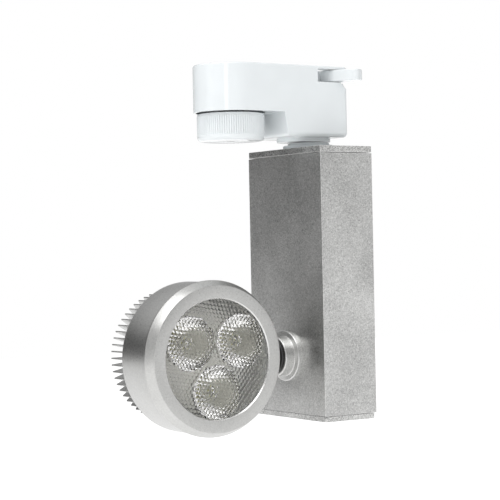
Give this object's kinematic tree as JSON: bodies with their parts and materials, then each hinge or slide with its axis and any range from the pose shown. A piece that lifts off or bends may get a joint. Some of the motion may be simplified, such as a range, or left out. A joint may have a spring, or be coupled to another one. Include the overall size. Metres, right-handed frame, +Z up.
{
  "type": "track spotlight",
  "caption": "Spotlight for a two-wire lighting track: white adapter with contact knob and locking lever, swivelling silver driver case, and a round finned lamp head that tilts at its side.",
  "frame": {"origin": "centre of the adapter's top face, which lies against the track", "axes": "+X along the track from the contact knob to the locking lever, -Y where the lamp aims at rest, +Z up into the track"},
  "size_m": [0.1039, 0.056, 0.1571],
  "materials": {
    "white_plastic": "smooth glossy moulding",
    "steel": "zinc plated",
    "brass": "plain stamped",
    "pale_plastic": "moulded",
    "silver_case": "fine sand-textured silver anodising",
    "silver_turned": "satin turned",
    "board_green": "solder resist on glass-fibre board",
    "insulation": "thin sheet",
    "coil_tape": "taped winding on ferrite",
    "component_sleeve": "shrink sleeve",
    "black_plastic": "dark nylon",
    "clear_acrylic": "clear, beaded on its face",
    "grey_rubber": "soft silicone",
    "board_white": "white solder resist on aluminium",
    "phosphor": "silicone dome over phosphor"
  },
  "bodies": {
    "adapter": {"adapter_housing": "white_plastic", "adapter_cover": "white_plastic", "cover_screws": "steel", "terminal_block": "pale_plastic", "terminal_screws": "brass", "terminal_tails": "brass"},
    "push_sleeve": {"guide_sleeve": "white_plastic", "return_spring": "steel"},
    "contact_head": {"ring_knob": "white_plastic", "contact_turret": "white_plastic", "contact_blades": "brass", "knob_screw": "steel"},
    "lever": {"lock_lever": "white_plastic", "lever_clip": "steel"},
    "lock": {"lock_bolt": "steel", "lock_pin": "steel"},
    "driver": {"swivel_collar": "white_plastic", "swivel_nipple": "steel", "swivel_washers": "steel", "swivel_nuts": "steel", "driver_case": "silver_case", "top_cap": "silver_case", "bottom_cap": "silver_case", "top_cap_screws": "steel", "bottom_cap_screws": "steel", "driver_board": "board_green", "board_standoffs": "pale_plastic", "insulator_sheet": "insulation", "transformer": "coil_tape", "capacitors": "component_sleeve", "driver_chips": "black_plastic", "pivot_boss": "silver_turned"},
    "lamp": {"friction_washer": "black_plastic", "lamp_stem": "black_plastic", "tilt_nipple": "steel", "tilt_spring_washer": "steel", "tilt_nut": "steel", "heat_sink": "silver_case", "bezel_ring": "silver_case", "lens_plate": "clear_acrylic", "optics": "clear_acrylic", "lens_gasket": "grey_rubber", "spacer_ring": "silver_turned", "led_board": "board_white", "thermal_pad": "grey_rubber", "board_screws": "steel", "emitters": "phosphor"}
  },
  "joints": [
    {"name": "knob_push", "type": "slide", "parent": "adapter", "child": "push_sleeve", "axis": [0, 0, 1], "range_m": [0, 0.009], "stiffness_N_per_m": 120, "springref_m": -0.006, "deforming": ["return_spring"]},
    {"name": "knob_turn", "type": "hinge", "parent": "push_sleeve", "child": "contact_head", "pos_m": [-0.0177, 0, 0], "axis": [0, 0, 1], "range_deg": [0, 90]},
    {"name": "lever_swing", "type": "hinge", "parent": "adapter", "child": "lever", "pos_m": [0.02085, 0, 0], "axis": [0, 0, 1], "range_deg": [-28, 61.2]},
    {"name": "lock_lift", "type": "slide", "parent": "lever", "child": "lock", "axis": [0, 0, 1], "range_m": [-0.002, 0.0043]},
    {"name": "body_swivel", "type": "hinge", "parent": "adapter", "child": "driver", "pos_m": [0.02285, 0, -0.0352], "axis": [0, 0, 1], "range_deg": [-175, 175]},
    {"name": "lamp_tilt", "type": "hinge", "parent": "driver", "child": "lamp", "pos_m": [0, 0, -0.1255], "axis": [1, 0, 0], "range_deg": [-90, 90]}
  ],
  "couplings": [
    {"joint": "lock_lift", "follows": "lever_swing", "m_per_rad": 0.004}
  ]
}
